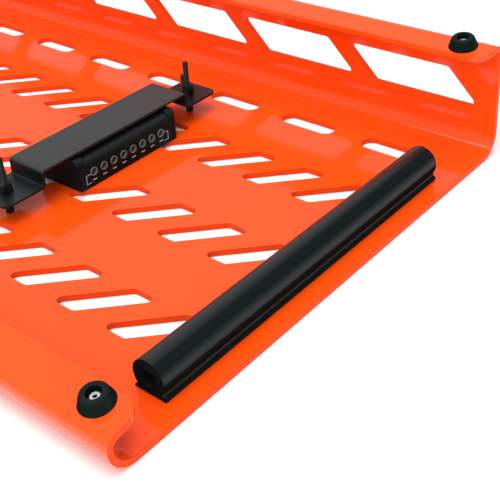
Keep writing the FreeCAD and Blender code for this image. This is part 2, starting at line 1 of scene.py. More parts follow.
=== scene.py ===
import logging
import math
from dataclasses import dataclass, field
from enum import Enum
from typing import Union

import bpy
import numpy as np
from mathutils import Matrix, Vector


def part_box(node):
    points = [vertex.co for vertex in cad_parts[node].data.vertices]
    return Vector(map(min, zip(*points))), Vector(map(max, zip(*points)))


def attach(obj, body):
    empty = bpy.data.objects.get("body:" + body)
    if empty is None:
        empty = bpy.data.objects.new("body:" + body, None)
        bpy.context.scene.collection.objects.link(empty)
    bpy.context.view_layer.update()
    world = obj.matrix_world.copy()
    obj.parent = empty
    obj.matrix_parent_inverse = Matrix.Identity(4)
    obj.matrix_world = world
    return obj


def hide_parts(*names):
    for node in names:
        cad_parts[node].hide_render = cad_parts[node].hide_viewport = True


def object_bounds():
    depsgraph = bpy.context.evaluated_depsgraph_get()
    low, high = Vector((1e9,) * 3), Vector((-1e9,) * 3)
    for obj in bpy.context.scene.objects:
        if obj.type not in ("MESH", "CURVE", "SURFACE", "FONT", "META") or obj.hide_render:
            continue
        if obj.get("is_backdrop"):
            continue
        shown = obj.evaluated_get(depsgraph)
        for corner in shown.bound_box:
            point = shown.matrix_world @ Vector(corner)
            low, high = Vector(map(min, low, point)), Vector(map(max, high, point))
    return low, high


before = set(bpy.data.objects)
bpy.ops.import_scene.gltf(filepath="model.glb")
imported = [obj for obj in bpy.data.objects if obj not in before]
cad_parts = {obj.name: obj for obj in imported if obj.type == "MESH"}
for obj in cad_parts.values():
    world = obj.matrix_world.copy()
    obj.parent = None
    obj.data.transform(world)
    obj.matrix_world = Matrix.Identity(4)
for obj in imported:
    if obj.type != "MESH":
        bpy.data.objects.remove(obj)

# Looks of a folded-sheet pedalboard that lies on its playing face with the underside up. The CAD
# nodes keep their shapes and get procedural finishes; the wing nuts and the printed marks on the
# power supply are surfaces made here. Everything is in metres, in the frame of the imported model.

LOG = logging.getLogger("pedalboard")

Colour = tuple[float, float, float]
Triple = tuple[float, float, float]
Term = Union["Value", float]

EVEN: Triple = (1.0, 1.0, 1.0)
UPWARD: Triple = (0.0, 0.0, 1.0)

# Where the edge mask starts and is full, as one less the dot product of two normals.
EDGE_START = 0.01
EDGE_FULL = 0.16

# Length of a soft step over a limit, in metres.
SOFT_STEP = 0.0002


# ---- shader writing ----


@dataclass(frozen=True)
class Patches:
    """Soft patches: a noise pattern and the levels between which it steps from 0 to 1."""

    per_metre: float
    detail: float
    low: float
    high: float


@dataclass(frozen=True)
class Specks:
    """Scattered specks: cells in a metre, and where a speck ends and is full, in cells."""

    per_metre: float
    rim: float
    core: float


@dataclass(frozen=True)
class Facing:
    """Faces that look one way: the direction and the dot products between which they fade in."""

    direction: Triple
    low: float
    high: float


ON_TOP = Facing(UPWARD, 0.3, 0.9)


class Value:
    """One number that changes over a surface: a shader socket with arithmetic operators."""

    def __init__(self, shader: "Shader", socket: bpy.types.NodeSocket) -> None:
        """Keep the socket and the shader it belongs to.

        Args:
            shader: The shader whose tree holds the socket.
            socket: The output that carries the number.
        """
        self.shader = shader
        self.socket = socket

    def _math(self, operation: str, *terms: Term) -> "Value":
        """Add one Math node.

        Args:
            operation: The Math node's operation.
            terms: Its inputs in order, values or plain numbers.

        Returns:
            The node's result.
        """
        sockets = {place: term for place, term in enumerate(terms)}
        made = self.shader.node("ShaderNodeMath", {"operation": operation}, sockets)
        return Value(self.shader, made.outputs[0])

    def __add__(self, other: Term) -> "Value":
        """Sum of this value and another."""
        return self._math("ADD", self, other)

    __radd__ = __add__

    def __sub__(self, other: Term) -> "Value":
        """This value less another."""
        return self._math("SUBTRACT", self, other)

    def __rsub__(self, other: Term) -> "Value":
        """Another value less this one."""
        return self._math("SUBTRACT", other, self)

    def __mul__(self, other: Term) -> "Value":
        """Product of this value and another."""
        return self._math("MULTIPLY", self, other)

    __rmul__ = __mul__

    def sine(self) -> "Value":
        """Sine of this value, in radians."""
        return self._math("SINE", self)

    def size(self) -> "Value":
        """This value without its sign."""
        return self._math("ABSOLUTE", self)

    def larger(self, other: Term) -> "Value":
        """The larger of this value and another."""
        return self._math("MAXIMUM", self, other)

    def between(self, low: float, high: float) -> "Value":
        """A smooth step of this value.

        Args:
            low: Where the step is 0.
            high: Where the step is 1; below low, the step falls instead of rising.

        Returns:
            The step, from 0 to 1.
        """
        flip = high < low
        limits = {"From Min": min(low, high), "From Max": max(low, high)}
        ends = {"To Min": 1.0 if flip else 0.0, "To Max": 0.0 if flip else 1.0}
        made = self.shader.node(
            "ShaderNodeMapRange",
            {"interpolation_type": "SMOOTHSTEP"},
            {"Value": self, **limits, **ends},
        )
        return Value(self.shader, made.outputs[0])

    def below(self, limit: float) -> "Value":
        """1 below a limit in metres and 0 above it, with a short soft step."""
        return self.between(limit, limit - SOFT_STEP)

    def above(self, limit: float) -> "Value":
        """1 above a limit in metres and 0 below it, with a short soft step."""
        return self.between(limit, limit + SOFT_STEP)


class Shader:
    """A node material with one Principled surface, read in object coordinates."""

    def __init__(self, name: str) -> None:
        """Start an empty material.

        Args:
            name: The material's name.
        """
        self.material = bpy.data.materials.new(name)
        self.material.use_nodes = True
        self.tree = self.material.node_tree
        self.tree.nodes.clear()
        self.surface = self.node("ShaderNodeBsdfPrincipled")
        output = self.node("ShaderNodeOutputMaterial")
        self.tree.links.new(self.surface.outputs["BSDF"], output.inputs["Surface"])
        self.place = self.node("ShaderNodeTexCoord").outputs["Object"]

    def node(
        self,
        kind: str,
        settings: dict[str, object] | None = None,
        inputs: dict[str | int, object] | None = None,
    ) -> bpy.types.Node:
        """Add a node.

        Args:
            kind: The node's type.
            settings: Its own settings, set before its sockets.
            inputs: What each socket gets: a value, a socket to link from, or a constant.

        Returns:
            The node.
        """
        made = self.tree.nodes.new(kind)
        for name, setting in (settings or {}).items():
            setattr(made, name, setting)
        for key, given in (inputs or {}).items():
            self.feed(made.inputs[key], given)
        return made

    def feed(self, socket: bpy.types.NodeSocket, given: object) -> None:
        """Link or set one input.

        Args:
            socket: The input.
            given: A value, a socket to link from, a colour of three numbers, or a constant.
        """
        if isinstance(given, Value):
            self.tree.links.new(given.socket, socket)
        elif isinstance(given, bpy.types.NodeSocket):
            self.tree.links.new(given, socket)
        elif socket.type == "RGBA":
            socket.default_value = (*given, 1.0)
        else:
            socket.default_value = given

    def axes(self) -> tuple[Value, Value, Value]:
        """The three object coordinates of the point being shaded."""
        split = self.node("ShaderNodeSeparateXYZ", None, {0: self.place})
        x, y, z = (Value(self, out) for out in split.outputs)
        return x, y, z

    def _stretched(self, stretch: Triple) -> bpy.types.NodeSocket:
        """Object coordinates multiplied axis by axis."""
        if stretch == EVEN:
            return self.place
        settings = {"operation": "MULTIPLY"}
        made = self.node("ShaderNodeVectorMath", settings, {0: self.place, 1: stretch})
        return made.outputs["Vector"]

    def noise(self, per_metre: float, detail: float = 2.0, stretch: Triple = EVEN) -> Value:
        """Soft random pattern.

        Args:
            per_metre: How many features there are in a metre.
            detail: How many finer layers are added.
            stretch: Factors on the three axes, so that a small one draws the pattern out.

        Returns:
            The pattern, from 0 to 1.
        """
        inputs = {"Vector": self._stretched(stretch), "Scale": per_metre, "Detail": detail}
        return Value(self, self.node("ShaderNodeTexNoise", None, inputs).outputs[0])

    def patches(self, kind: Patches, stretch: Triple = EVEN) -> Value:
        """Noise cut to soft patches.

        Args:
            kind: The patches.
            stretch: Factors on the three axes, as for the noise.

        Returns:
            1 inside a patch and 0 outside.
        """
        return self.noise(kind.per_metre, kind.detail, stretch).between(kind.low, kind.high)

    def cells(self, per_metre: float) -> Value:
        """Distance to the nearest of many scattered points, in cells."""
        inputs = {"Vector": self.place, "Scale": per_metre}
        made = self.node("ShaderNodeTexVoronoi", None, inputs)
        return Value(self, made.outputs["Distance"])

    def specks(self, kind: Specks) -> Value:
        """1 in the middle of each speck and 0 outside its rim."""
        return self.cells(kind.per_metre).between(kind.rim, kind.core)

    def mix(self, share: Value, first: object, second: object) -> bpy.types.NodeSocket:
        """Blend two colours.

        Args:
            share: How much of the second colour shows, from 0 to 1.
            first: The colour where share is 0.
            second: The colour where share is 1.

        Returns:
            The blended colour.
        """
        inputs = {0: share, 6: first, 7: second}
        made = self.node("ShaderNodeMix", {"data_type": "RGBA"}, inputs)
        return made.outputs[2]

    def rounded(self, radius: float) -> bpy.types.NodeSocket:
        """Normal that turns smoothly over sharp edges, as if they had this radius."""
        made = self.node("ShaderNodeBevel", {"samples": 4}, {"Radius": radius})
        return made.outputs["Normal"]

    def edges(self, normal: bpy.types.NodeSocket) -> Value:
        """How close a point is to a sharp edge.

        One less the dot product of the rounded normal and the face's own normal.

        Args:
            normal: The rounded normal.

        Returns:
            1 on the edge, falling to 0 where the rounding ends.
        """
        return (1.0 - self.facing(normal)).between(EDGE_START, EDGE_FULL)

    def facing(self, direction: Triple | bpy.types.NodeSocket) -> Value:
        """Dot product of a face's own normal and a direction.

        Args:
            direction: A direction of length one, fixed or from a socket.

        Returns:
            1 where the face looks that way, 0 across it and -1 where it looks away.
        """
        own = self.node("ShaderNodeNewGeometry").outputs["Normal"]
        settings = {"operation": "DOT_PRODUCT"}
        made = self.node("ShaderNodeVectorMath", settings, {0: own, 1: direction})
        return Value(self, made.outputs["Value"])

    def turned_to(self, kind: Facing) -> Value:
        """1 on the faces that look the described way, fading to 0 on the others."""
        return self.facing(kind.direction).between(kind.low, kind.high)

    def bump(
        self, height: Value, depth: float, under: bpy.types.NodeSocket | None = None
    ) -> bpy.types.NodeSocket:
        """Normal disturbed by a height pattern.

        Args:
            height: The pattern, from 0 to 1.
            depth: How high 1 stands over 0, in metres.
            under: The normal that is disturbed; the face's own where none is given.

        Returns:
            The disturbed normal.
        """
        inputs = {"Height": height, "Distance": depth, "Strength": 1.0}
        if under is not None:
            inputs["Normal"] = under
        return self.node("ShaderNodeBump", None, inputs).outputs["Normal"]

    def done(self, **sockets: object) -> bpy.types.Material:
        """Feed the surface and hand over the material.

        Args:
            sockets: Surface sockets by name, with an underscore for each space.

        Returns:
            The finished material.
        """
        for name, given in sockets.items():
            self.feed(self.surface.inputs[name.replace("_", " ")], given)
        return self.material


# ---- finishes ----


@dataclass(frozen=True)
class PowderCoat:
    """Gloss powder paint: a hard clear skin with orange peel, faint mottle and dust nibs.

    Each share is how much of the second colour of its blend shows where its pattern is 1. The
    cut walls of slots and windows have no clear gloss, and the sheet's end faces little. The thin
    colour is the colour of worn edges, and also painted shade on those walls and end faces.
    """

    name: str = "orange_powder_coat"
    colour: Colour = (0.940, 0.078, 0.004)
    deep: Colour = (0.860, 0.060, 0.003)
    # Colour of worn edges, and painted shade on the slot walls, window walls and end faces.
    thin: Colour = (0.560, 0.030, 0.002)
    mottle: Patches = Patches(14.0, 4.0, 0.35, 0.75)
    mottle_share: float = 0.28
    grain_per_metre: float = 900.0
    grain_share: float = 0.08
    wear: Patches = Patches(260.0, 3.0, 0.3, 0.6)
    wear_share: float = 0.45
    # Painted shade: how far the slot walls, window walls and end faces darken towards thin.
    slot_shade_share: float = 0.55
    window_shade_share: float = 0.08
    end_shade_share: float = 0.12
    nib: Specks = Specks(95.0, 0.035, 0.0)
    nib_height: float = 0.8
    peel_per_metre: float = 330.0
    peel_depth: float = 0.000012
    wave_per_metre: float = 38.0
    wave_depth: float = 0.00004
    smudge: Patches = Patches(22.0, 5.0, 0.48, 0.72)
    smudge_stretch: Triple = (1.0, 2.2, 1.0)
    roughness: float = 0.30
    smudge_roughness: float = 0.05
    grain_roughness: float = 0.03
    gloss: float = 0.74
    smudge_dulling: float = 0.12
    end_dulling: float = 0.9
    edge_radius: float = 0.0012
    sheet: float = 0.0047
    end_margin: float = 0.002
    bend_margin: float = 0.024
    window_low: float = 0.036
    window_high: float = 0.069
    across_from: float = 0.6
    across_full: float = 0.3
    end_facing: Facing = Facing((1.0, 0.0, 0.0), 0.6, 0.9)

    def cut_faces(self, shader: Shader) -> tuple[Value, Value]:
        """Where the paint lies on the cut walls of slots and of windows.

        A deck wall lies within one sheet of the playing face and looks sideways. A window wall
        lies within one sheet of the rear face and doesn't look along Y. Both keep clear of the
        ends and bends of the sheet.

        Args:
            shader: The paint's shader.

        Returns:
            1 on the slot walls and 0 elsewhere, then the same for the window walls.
        """
        x, y, z = shader.axes()
        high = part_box("deck_shell")[1]
        inside = x.size().below(high.x - self.end_margin)
        low_down = z.below(self.sheet)
        clear = y.size().below(high.y - self.bend_margin)
        sideways = shader.facing(UPWARD).size().between(self.across_from, self.across_full)
        at_rear = y.above(high.y - self.sheet)
        over = z.above(self.window_low)
        under = z.below(self.window_high)
        off_y = shader.facing((0.0, 1.0, 0.0)).size().between(self.across_from, self.across_full)
        return low_down * clear * sideways * inside, at_rear * over * under * off_y * inside

    def end_faces(self, shader: Shader) -> Value:
        """Where the paint lies on the narrow faces at both ends of the sheet.

        Args:
            shader: The paint's shader.

        Returns:
            1 on the end faces and 0 elsewhere.
        """
        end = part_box("deck_shell")[1].x
        start, full = end - self.end_margin / 2.0, end - self.end_margin / 4.0
        at_end = shader.axes()[0].size().between(start, full)
        look = self.end_facing
        return at_end * shader.facing(look.direction).size().between(look.low, look.high)

    def material(self) -> bpy.types.Material:
        """Build the paint."""
        shader = Shader(self.name)
        slot, window = self.cut_faces(shader)
        end = self.end_faces(shader)
        grain = shader.noise(self.grain_per_metre)
        share = shader.patches(self.mottle) * self.mottle_share + grain * self.grain_share
        colour = shader.mix(share, self.colour, self.deep)
        round_normal = shader.rounded(self.edge_radius)
        worn = shader.edges(round_normal) * shader.patches(self.wear)
        colour = shader.mix(worn * self.wear_share, colour, self.thin)
        # Painted shade: the slot walls, window walls and end faces are darkened towards thin.
        share = slot * self.slot_shade_share + window * self.window_shade_share + end * self.end_shade_share
        colour = shader.mix(share, colour, self.thin)
        wave = shader.noise(self.wave_per_metre, detail=1.0)
        normal = shader.bump(wave, self.wave_depth, round_normal)
        peel = shader.noise(self.peel_per_metre) + shader.specks(self.nib) * self.nib_height
        normal = shader.bump(peel, self.peel_depth, normal)
        smudge = shader.patches(self.smudge, self.smudge_stretch)
        roughness = self.roughness + smudge * self.smudge_roughness
        gloss = self.gloss - smudge * self.smudge_dulling
        return shader.done(
            Base_Color=colour,
            Roughness=roughness + grain * self.grain_roughness,
            Normal=normal,
            Specular_IOR_Level=0.05,
            Coat_Weight=gloss * (1.0 - slot - window - end * self.end_dulling),
            Coat_Roughness=0.08,
        )


@dataclass(frozen=True)
class Rubber:
    """Black rubber: fine moulding grain, drawn streaks and a trace of pale bloom.

    The sheen is limited to faces that look one way and, more weakly, a second way.
    """

    name: str
    colour: Colour = (0.0062, 0.0088, 0.0094)
    bloom: Colour = (0.024, 0.029, 0.031)
    roughness: float = 0.42
    sheen: float = 1.0
    bright: Facing = Facing((-0.35, 0.0, 0.937), 0.66, 0.97)
    second: Facing = Facing((0.95, 0.0, 0.312), 0.93, 1.0)
    second_share: float = 0.5
    patch: Patches = Patches(26.0, 4.0, 0.45, 0.8)
    patch_share: float = 0.30
    speck: Specks = Specks(520.0, 0.11, 0.0)
    speck_share: float = 0.35
    edge_share: float = 0.25
    edge_radius: float = 0.0007
    unevenness: float = 0.12
    grain_per_metre: float = 1400.0
    grain_depth: float = 0.00004
    streak: Triple = EVEN
    streaks_per_metre: float = 240.0
    streak_depth: float = 0.00003

    def material(self) -> bpy.types.Material:
        """Build the rubber."""
        shader = Shader(self.name)
        drawn = shader.noise(self.streaks_per_metre, 3.0, self.streak)
        patch = shader.patches(self.patch, self.streak)
        speck = shader.specks(self.speck)
        round_normal = shader.rounded(self.edge_radius)
        edge = shader.edges(round_normal)
        pale = patch * self.patch_share + speck * self.speck_share + edge * self.edge_share
        normal = shader.bump(drawn, self.streak_depth, round_normal)
        normal = shader.bump(shader.noise(self.grain_per_metre), self.grain_depth, normal)
        roughness = self.roughness + patch * self.unevenness + (drawn - 0.5) * self.unevenness
        second = shader.turned_to(self.second) * self.second_share
        shining = shader.turned_to(self.bright).larger(second)
        return shader.done(
            Base_Color=shader.mix(pale, self.colour, self.bloom),
            Roughness=roughness,
            Normal=normal,
            Specular_IOR_Level=0.0,
            Coat_Weight=shining * self.sheen,
            Coat_Roughness=0.26,
        )


@dataclass(frozen=True)
class Foam:
    """Closed-cell foam: dull, with the cut cells showing as small pits."""

    name: str
    colour: Colour = (0.016, 0.016, 0.017)
    skin: Colour = (0.045, 0.045, 0.047)
    cells_per_metre: float = 1500.0
    pit_from: float = 0.2
    pit_full: float = 0.7
    pit_share: float = 0.6
    pit_depth: float = 0.00012
    cloud_per_metre: float = 120.0
    cloud_share: float = 0.2
    cloud_roughness: float = 0.1
    roughness: float = 0.86

    def material(self) -> bpy.types.Material:
        """Build the foam."""
        shader = Shader(self.name)
        pit = shader.cells(self.cells_per_metre)
        cloud = shader.noise(self.cloud_per_metre, detail=3.0)
        share = pit.between(self.pit_from, self.pit_full) * self.pit_share
        colour = shader.mix(share + cloud * self.cloud_share, self.colour, self.skin)
        normal = shader.bump(pit, self.pit_depth)
        roughness = self.roughness + cloud * self.cloud_roughness
        return shader.done(Base_Color=colour, Roughness=roughness, Normal=normal)


@dataclass(frozen=True)
class BareMetal:
    """Unpainted metal: fine turning marks, small stains and edges rubbed bright.

    Where a side colour is given, it is painted shade that covers the faces that don't look up.
    """

    name: str
    colour: Colour
    dull: Colour
    roughness: float
    side: Colour | None = None
    top: Facing = Facing(UPWARD, 0.3, 0.8)
    marks: Triple = (1.0, 1.0, 14.0)
    marks_per_metre: float = 900.0
    marks_depth: float = 0.000012
    marks_share: float = 0.2
    marks_roughness: float = 0.12
    stain: Patches = Patches(240.0, 4.0, 0.48, 0.8)
    stain_share: float = 0.55
    stain_roughness: float = 0.14
    rubbed_share: float = 0.6
    rubbed_roughness: float = 0.06
    edge_radius: float = 0.00015

    def material(self) -> bpy.types.Material:
        """Build the metal."""
        shader = Shader(self.name)
        turned = shader.noise(self.marks_per_metre, 3.0, self.marks)
        stain = shader.patches(self.stain)
        round_normal = shader.rounded(self.edge_radius)
        rubbed = shader.edges(round_normal)
        dull = stain * self.stain_share + turned * self.marks_share
        colour = shader.mix(dull, self.colour, self.dull)
        colour = shader.mix(rubbed * self.rubbed_share, colour, self.colour)
        # Painted shade: faces that don't look up take the dark side colour.
        if self.side is not None:
            colour = shader.mix(shader.turned_to(self.top), self.side, colour)
        roughness = self.roughness + turned * self.marks_roughness
        roughness = roughness + stain * self.stain_roughness - rubbed * self.rubbed_roughness
        normal = shader.bump(turned, self.marks_depth, round_normal)
        return shader.done(Base_Color=colour, Metallic=1.0, Roughness=roughness, Normal=normal)


@dataclass(frozen=True)
class SilverMoulding:
    """Silver-pigmented moulding: even grey with metal flakes and a soft sheen."""

    name: str
    colour: Colour = (0.085, 0.135, 0.140)
    flake: Colour = (0.300, 0.380, 0.390)
    roughness: float = 0.46
    flakes: Specks = Specks(5200.0, 0.42, 0.10)
    flakes_share: float = 0.45
    flakes_depth: float = 0.00001
    flakes_metal: float = 0.15
    flakes_polish: float = 0.10
    edge_share: float = 0.35
    edge_radius: float = 0.00025
    cloud_per_metre: float = 420.0
    cloud_share: float = 0.15
    cloud_roughness: float = 0.08

    def material(self) -> bpy.types.Material:
        """Build the moulding."""
        shader = Shader(self.name)
        flakes = shader.specks(self.flakes)
        cloud = shader.noise(self.cloud_per_metre, detail=3.0)
        round_normal = shader.rounded(self.edge_radius)
        share = flakes * self.flakes_share + shader.edges(round_normal) * self.edge_share
        colour = shader.mix(share + cloud * self.cloud_share, self.colour, self.flake)
        roughness = self.roughness - flakes * self.flakes_polish + cloud * self.cloud_roughness
        return shader.done(
            Base_Color=colour,
            Metallic=flakes * self.flakes_metal,
            Roughness=roughness,
            Normal=shader.bump(flakes, self.flakes_depth, round_normal),
            Specular_IOR_Level=0.15,
        )


@dataclass(frozen=True)
class BlackCoat:
    """Black coated steel: fine texture, with the coat rubbed thin along the edges.

    Where a lower colour is given, it is painted shade that covers what lies below a set height.
    The sheen is limited to faces that look up.
    """

    name: str
    colour: Colour = (0.011, 0.011, 0.012)
    rubbed: Colour = (0.060, 0.062, 0.065)
    roughness: float = 0.38
    texture_per_metre: float = 1600.0
    texture_depth: float = 0.00003
    texture_share: float = 0.06
    texture_roughness: float = 0.06
    edge_radius: float = 0.0004
    sheen: float = 0.5
    # Painted shade: the darker colour for what lies below a set height.
    lower: Colour | None = None
    shade_below: float = 0.0355
    shade_fade: float = 0.002
    patch: Patches = Patches(34.0, 4.0, 0.4, 0.78)
    patch_share: float = 0.09
    patch_roughness: float = 0.08
    wear: Patches = Patches(420.0, 3.0, 0.35, 0.62)
    wear_share: float = 0.75
    scratch: Patches = Patches(160.0, 2.0, 0.66, 0.74)
    scratch_stretch: Triple = (6.0, 0.35, 6.0)
    scratch_polish: float = 0.10

    def material(self) -> bpy.types.Material:
        """Build the coat."""
        shader = Shader(self.name)
        texture = shader.noise(self.texture_per_metre)
        patch = shader.patches(self.patch)
        round_normal = shader.rounded(self.edge_radius)
        thin = shader.edges(round_normal) * shader.patches(self.wear)
        share = thin * self.wear_share + patch * self.patch_share + texture * self.texture_share
        base: object = self.colour
        # Painted shade: below a set height the coat takes the darker lower colour.
        if self.lower is not None:
            fade_from = self.shade_below - self.shade_fade
            raised = shader.axes()[2].between(fade_from, self.shade_below)
            base = shader.mix(raised, self.lower, self.colour)
        scratch = shader.patches(self.scratch, self.scratch_stretch)
        roughness = self.roughness + patch * self.patch_roughness
        roughness = roughness - scratch * self.scratch_polish + texture * self.texture_roughness
        return shader.done(
            Base_Color=shader.mix(share, base, self.rubbed),
            Roughness=roughness,
            Normal=shader.bump(texture, self.texture_depth, round_normal),
            Specular_IOR_Level=0.08,
            Coat_Weight=shader.turned_to(ON_TOP) * self.sheen,
            Coat_Roughness=0.26,
        )


@dataclass(frozen=True)
class MouldedPlastic:
    """Moulded plastic: spark-eroded grain, soft flow marks and edges polished by handling.

    The side colour covers the faces that don't look up; it is painted light, a blue-green tint
    that cancels the red light bounced onto them from the deck. The sheen covers those that do.
    """

    name: str
    colour: Colour
    polished: Colour
    roughness: float
    # Painted light: a blue-green tint that cancels red light bounced from the deck.
    side: Colour = (0.0016, 0.0062, 0.0062)
    top: Facing = Facing(UPWARD, 0.2, 0.8)
    sheen: float = 0.30
    grain_per_metre: float = 2100.0
    grain_depth: float = 0.00003
    grain_share: float = 0.12
    grain_roughness: float = 0.06
    flow_per_metre: float = 30.0
    flow_stretch: Triple = (1.0, 0.4, 1.6)
    flow_from: float = 0.4
    flow_full: float = 0.8
    flow_share: float = 0.18
    flow_roughness: float = 0.08
    edge_radius: float = 0.0005
    edge_share: float = 0.55
    edge_polish: float = 0.10

    def material(self) -> bpy.types.Material:
        """Build the plastic."""
        shader = Shader(self.name)
        grain = shader.cells(self.grain_per_metre)
        flow = shader.noise(self.flow_per_metre, 3.0, self.flow_stretch)
        round_normal = shader.rounded(self.edge_radius)
        edge = shader.edges(round_normal)
        marks = flow.between(self.flow_from, self.flow_full)
        share = edge * self.edge_share + marks * self.flow_share + grain * self.grain_share
        # Painted light: faces that don't look up take the side colour, which cancels red bounce
        # light.
        base = shader.mix(shader.turned_to(self.top), self.side, self.colour)
        roughness = self.roughness + flow * self.flow_roughness
        roughness = roughness + grain * self.grain_roughness - edge * self.edge_polish
        return shader.done(
            Base_Color=shader.mix(share, base, self.polished),
            Roughness=roughness,
            Normal=shader.bump(grain, self.grain_depth, round_normal),
            Specular_IOR_Level=0.08,
            Coat_Weight=shader.turned_to(ON_TOP) * self.sheen,
            Coat_Roughness=0.34,
        )


@dataclass(frozen=True)
class CircuitBoard:
    """Solder-masked board: copper tracks as bands of object coordinates, with bare pads."""

    name: str = "circuit_board"
    mask: Colour = (0.010, 0.110, 0.035)
    track: Colour = (0.030, 0.210, 0.075)
    pad: Colour = (0.62, 0.58, 0.50)
    bend_per_metre: float = 60.0
    bend_angle: float = 6.0
    band_rate_x: float = 1900.0
    band_rate_y: float = 300.0
    band_from: float = 0.35
    band_full: float = 0.6
    pads: Specks = Specks(220.0, 0.22, 0.18)
    copper_depth: float = 0.00004
    roughness: float = 0.34
    pad_polish: float = 0.08
    cloud_per_metre: float = 400.0
    cloud_roughness: float = 0.05

    def material(self) -> bpy.types.Material:
        """Build the board."""
        shader = Shader(self.name)
        x, y, _ = shader.axes()
        bend = shader.noise(self.bend_per_metre, detail=0.0) * self.bend_angle
        bands = (x * self.band_rate_x + bend).sine() * (y * self.band_rate_y).sine().size()
        tracks = bands.between(self.band_from, self.band_full)
        pads = shader.specks(self.pads)
        colour = shader.mix(tracks, self.mask, self.track)
        cloud = shader.noise(self.cloud_per_metre)
        return shader.done(
            Base_Color=shader.mix(pads, colour, self.pad),
            Roughness=self.roughness - pads * self.pad_polish + cloud * self.cloud_roughness,
            Metallic=pads,
            Normal=shader.bump(tracks.larger(pads), self.copper_depth),
        )


@dataclass(frozen=True)
class CapacitorSleeve:
    """Shrink sleeve on a capacitor can: dark film with a pale stripe down one side."""

    name: str = "capacitor_can"
    film: Colour = (0.020, 0.026, 0.050)
    stripe: Colour = (0.42, 0.45, 0.50)
    stripe_rate: float = 700.0
    stripe_from: float = 0.86
    stripe_full: float = 0.94
    wrinkles_per_metre: float = 500.0
    wrinkle_stretch: Triple = (1.0, 1.0, 5.0)
    wrinkle_depth: float = 0.00003
    wrinkle_roughness: float = 0.12
    roughness: float = 0.24
    wave_rate: float = 900.0
    wave_roughness: float = 0.02

    def material(self) -> bpy.types.Material:
        """Build the sleeve."""
        shader = Shader(self.name)
        x, _, z = shader.axes()
        side = (x * self.stripe_rate).sine().between(self.stripe_from, self.stripe_full)
        wrinkle = shader.noise(self.wrinkles_per_metre, 2.0, self.wrinkle_stretch)
        colour = shader.mix(side, self.film, self.stripe)
        wave = (z * self.wave_rate).sine() * self.wave_roughness
        roughness = self.roughness + wrinkle * self.wrinkle_roughness + wave
        normal = shader.bump(wrinkle, self.wrinkle_depth)
        return shader.done(Base_Color=colour, Roughness=roughness, Normal=normal)


@dataclass(frozen=True)
class Ink:
    """Screen-printed ink: slightly uneven cover over the grain under it."""

    name: str = "printed_ink"
    # Painted light: both ink colours are tinted blue-green to cancel red light bounced from the
    # deck.
    colour: Colour = (0.46, 0.62, 0.63)
    worn: Colour = (0.22, 0.31, 0.32)
    cover_per_metre: float = 1300.0
    cover_depth: float = 0.00001
    worn_from: float = 0.52
    worn_full: float = 0.78
    worn_share: float = 0.7
    roughness: float = 0.5
    cover_roughness: float = 0.15

    def material(self) -> bpy.types.Material:
        """Build the ink."""
        shader = Shader(self.name)
        cover = shader.noise(self.cover_per_metre, detail=3.0)
        share = cover.between(self.worn_from, self.worn_full) * self.worn_share
        colour = shader.mix(share, self.colour, self.worn)
        roughness = self.roughness + cover * self.cover_roughness
        normal = shader.bump(cover, self.cover_depth)
        return shader.done(Base_Color=colour, Roughness=roughness, Normal=normal)


# ---- surfaces ----


@dataclass
class Surface:
    """Points and faces of one or more closed surfaces, as arrays."""

    points: np.ndarray = field(default_factory=lambda: np.zeros((0, 3)))
    faces: list[list[int]] = field(default_factory=list)

    def add(self, other: "Surface") -> "Surface":
        """Take in another surface.

        Args:
            other: The surface that is added.

        Returns:
            This surface.
        """
        start = len(self.points)
        self.points = np.vstack([self.points, other.points])
        self.faces += [[start + place for place in face] for face in other.faces]
        return self

    def placed(self, turn: float, centre: Triple) -> "Surface":
        """The same surface turned about Z and moved.

        Args:
            turn: Angle of the turn, in radians.
            centre: Where the origin goes.

        Returns:
            The moved surface.
        """
        cosine, sine = math.cos(turn), math.sin(turn)
        about_z = np.array([[cosine, -sine, 0.0], [sine, cosine, 0.0], [0.0, 0.0, 1.0]])
        return Surface(self.points @ about_z.T + np.array(centre), self.faces)

    def piece(self, name: str, smooth: bool = True) -> bpy.types.Object:
        """Put the surface into a new object at the origin.

        Args:
            name: The object's name.
            smooth: Whether its faces are shaded as one curved skin.

        Returns:
            The object.
        """
        mesh = bpy.data.meshes.new(name)
        mesh.from_pydata(self.points.tolist(), [], self.faces)
        mesh.validate()
        mesh.polygons.foreach_set("use_smooth", np.full(len(mesh.polygons), smooth))
        mesh.update()
        made = bpy.data.objects.new(name, mesh)
        bpy.context.scene.collection.objects.link(made)
        return made


def loops(grid: np.ndarray, closed_along: bool) -> Surface:
    """Skin over a stack of closed rings.

    Ring i joins ring i + 1 with one four-sided face for each pair of neighbouring points. Where
    the stack is open, each end ring is closed by one face.

    Args:
        grid: Points, ring by ring, as an array of rings, points and coordinates.
        closed_along: Whether the last ring joins the first.

    Returns:
        The closed surface.
    """
    rings, around = grid.shape[:2]
    index = np.arange(rings * around).reshape(rings, around)
    lower = index if closed_along else index[:-1]
    upper = np.roll(index, -1, axis=0) if closed_along else index[1:]
    quads = np.stack(
        [lower, np.roll(lower, -1, axis=1), np.roll(upper, -1, axis=1), upper], axis=-1
    )
    faces = quads.reshape(-1, 4).tolist()
    if not closed_along:
        faces += [index[0][::-1].tolist(), index[-1].tolist()]
    return Surface(grid.reshape(-1, 3), faces)


def turned_ring(profile: np.ndarray, around: int) -> Surface:
    """Ring with a bore: a closed profile turned about Z.

    A profile point (r, z) at angle a goes to (r cos a, r sin a, z).

    Args:
        profile: Radius and height of each point of the closed outline.
        around: How many steps make the full turn.

    Returns:
        The closed surface.
    """
    angle = np.linspace(0.0, 2.0 * np.pi, around, endpoint=False)
    radius, height = profile[:, 0][:, None], profile[:, 1][:, None]
    flat = np.zeros_like(angle)[None, :]
    grid = np.stack([radius * np.cos(angle), radius * np.sin(angle), height + flat], axis=-1)
    return loops(grid, closed_along=True)


